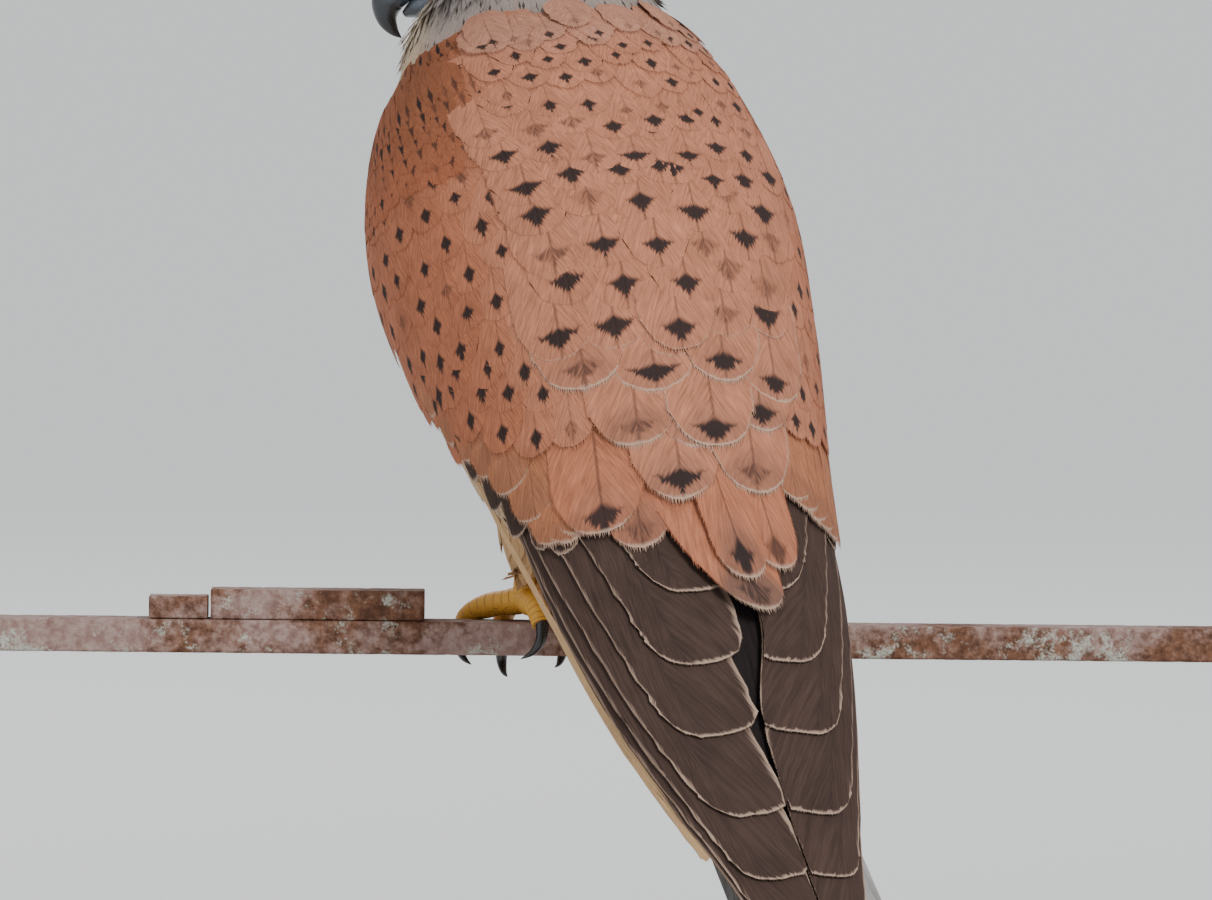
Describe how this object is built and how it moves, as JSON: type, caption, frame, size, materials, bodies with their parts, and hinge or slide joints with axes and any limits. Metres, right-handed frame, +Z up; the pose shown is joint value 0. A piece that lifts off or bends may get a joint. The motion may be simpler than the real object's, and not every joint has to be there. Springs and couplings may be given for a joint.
{
  "type": "common kestrel",
  "caption": "Life-size common kestrel, an adult male seen from behind, wings closed and head turned, perched on a cut bar on a display stand.",
  "frame": {"origin": "centre of the stand base's underside", "axes": "+Z up; +X along the perch, to the right in the picture; +Y away from the picture's viewer; the bird faces +Y turned 30 degrees towards -X, with its head turned further to -X"},
  "size_m": [0.284, 0.1736, 0.2988],
  "materials": {
    "stand_wood": "satin dark stained wood",
    "stand_steel": "fine brushed steel",
    "worn_steel": "rusty bar with worn, flaking pale paint",
    "breast_feathers": "soft buff feathers with dark streaks",
    "head_feathers": "fine blue-grey feathers with thin dark streaks",
    "back_feathers": "chestnut feathers with dark anchor marks",
    "wing_feathers": "dark grey-brown flight feathers with thin pale fringes, chestnut coverts",
    "tail_feathers": "grey feathers with a black band and a white tip",
    "bare_skin": "smooth yellow skin",
    "bill_horn": "slate horn, blacker at the tip",
    "eye": "wet dark brown eye",
    "leg_skin": "scaly orange-yellow skin",
    "claw_horn": "black horn"
  },
  "bodies": {
    "root": {"stand_base": "stand_wood", "stand_collar": "stand_steel", "stand_rod": "stand_steel", "stand_perch": "worn_steel", "stand_perch_plate_long": "worn_steel", "stand_perch_plate_short": "worn_steel", "torso": "breast_feathers", "neck": "head_feathers", "head": "head_feathers", "mantle": "back_feathers", "tail": "tail_feathers", "cere": "bare_skin", "bill_upper": "bill_horn", "bill_lower": "bill_horn", "eye_left": "eye", "eyelids_left": "bare_skin", "wing_left": "wing_feathers", "foot_left": "leg_skin", "tarsus_left": "leg_skin", "thigh_left": "breast_feathers", "claw_outer_left": "claw_horn", "claw_middle_left": "claw_horn", "claw_inner_left": "claw_horn", "claw_hind_left": "claw_horn", "eye_right": "eye", "eyelids_right": "bare_skin", "wing_right": "wing_feathers", "foot_right": "leg_skin", "tarsus_right": "leg_skin", "thigh_right": "breast_feathers", "claw_outer_right": "claw_horn", "claw_middle_right": "claw_horn", "claw_inner_right": "claw_horn", "claw_hind_right": "claw_horn"}
  },
  "joints": []
}
